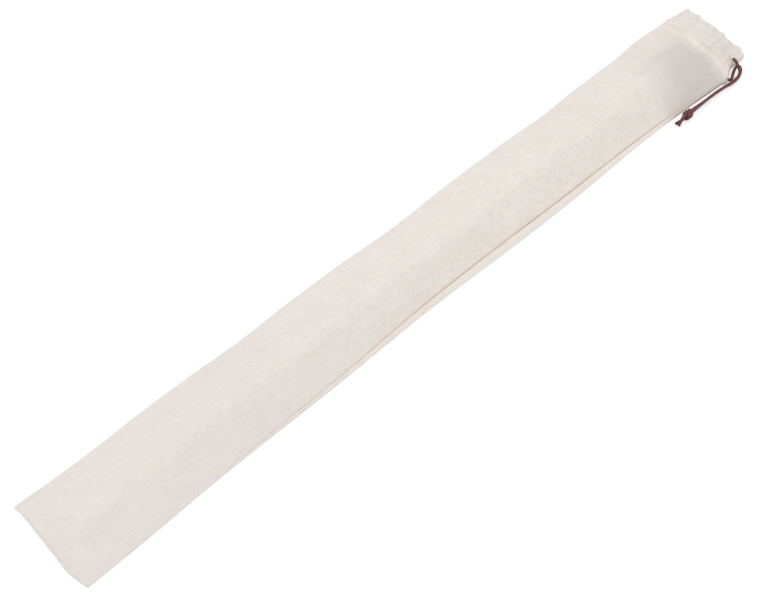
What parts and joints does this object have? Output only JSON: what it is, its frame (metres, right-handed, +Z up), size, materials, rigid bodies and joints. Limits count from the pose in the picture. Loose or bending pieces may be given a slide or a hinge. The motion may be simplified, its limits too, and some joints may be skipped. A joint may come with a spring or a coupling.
{
  "type": "dizi in drawstring bag",
  "caption": "Long transverse bamboo flute stored in a flat cloth bag; the bag's hemmed mouth is closed by a knotted cord, and the flute slides out and has a tuning joint.",
  "frame": {"origin": "middle of the bag's footprint, on the surface that it lies on", "axes": "+X along the bag towards its gathered mouth, +Y towards its folded side, +Z up"},
  "size_m": [0.7599, 0.0942, 0.0326],
  "materials": {
    "linen": "natural cream plain-weave linen and cotton cloth with fine flecks, matt",
    "cord": "dark reddish-brown twisted cord",
    "bamboo": "honey-brown varnished bamboo",
    "bone": "polished ivory-coloured bone",
    "brass": "polished brass, lightly handled",
    "cork": "natural cork",
    "thread": "dark lacquered silk thread winding",
    "membrane": "thin wrinkled reed film"
  },
  "bodies": {
    "bag": {"bag_cloth": "linen", "drawstring_in_hem": "cord", "drawstring_upper_strand": "cord", "drawstring_lower_strand": "cord", "drawstring_knot": "cord", "drawstring_upper_tail": "cord", "drawstring_lower_tail": "cord"},
    "flute_head": {"head_tube": "bamboo", "head_end_ring": "bone", "joint_socket": "brass", "cork_stopper": "cork", "head_binding_1": "thread", "head_binding_2": "thread", "head_binding_3": "thread", "head_binding_4": "thread", "head_binding_5": "thread", "head_binding_6": "thread"},
    "flute_foot": {"joint_tenon": "brass", "foot_tube": "bamboo", "dimo_membrane": "membrane", "foot_end_ring": "bone", "foot_binding_01": "thread", "foot_binding_02": "thread", "foot_binding_03": "thread", "foot_binding_04": "thread", "foot_binding_05": "thread", "foot_binding_06": "thread", "foot_binding_07": "thread", "foot_binding_08": "thread", "foot_binding_09": "thread", "foot_binding_10": "thread", "foot_binding_11": "thread"}
  },
  "joints": [
    {"name": "dizi_slide", "type": "slide", "parent": "bag", "child": "flute_head", "axis": [1, 0, 0.0057], "range_m": [0, 0.74]},
    {"name": "tuning_slide", "type": "slide", "parent": "flute_head", "child": "flute_foot", "axis": [1, 0, 0.0057], "range_m": [0, 0.01]}
  ]
}
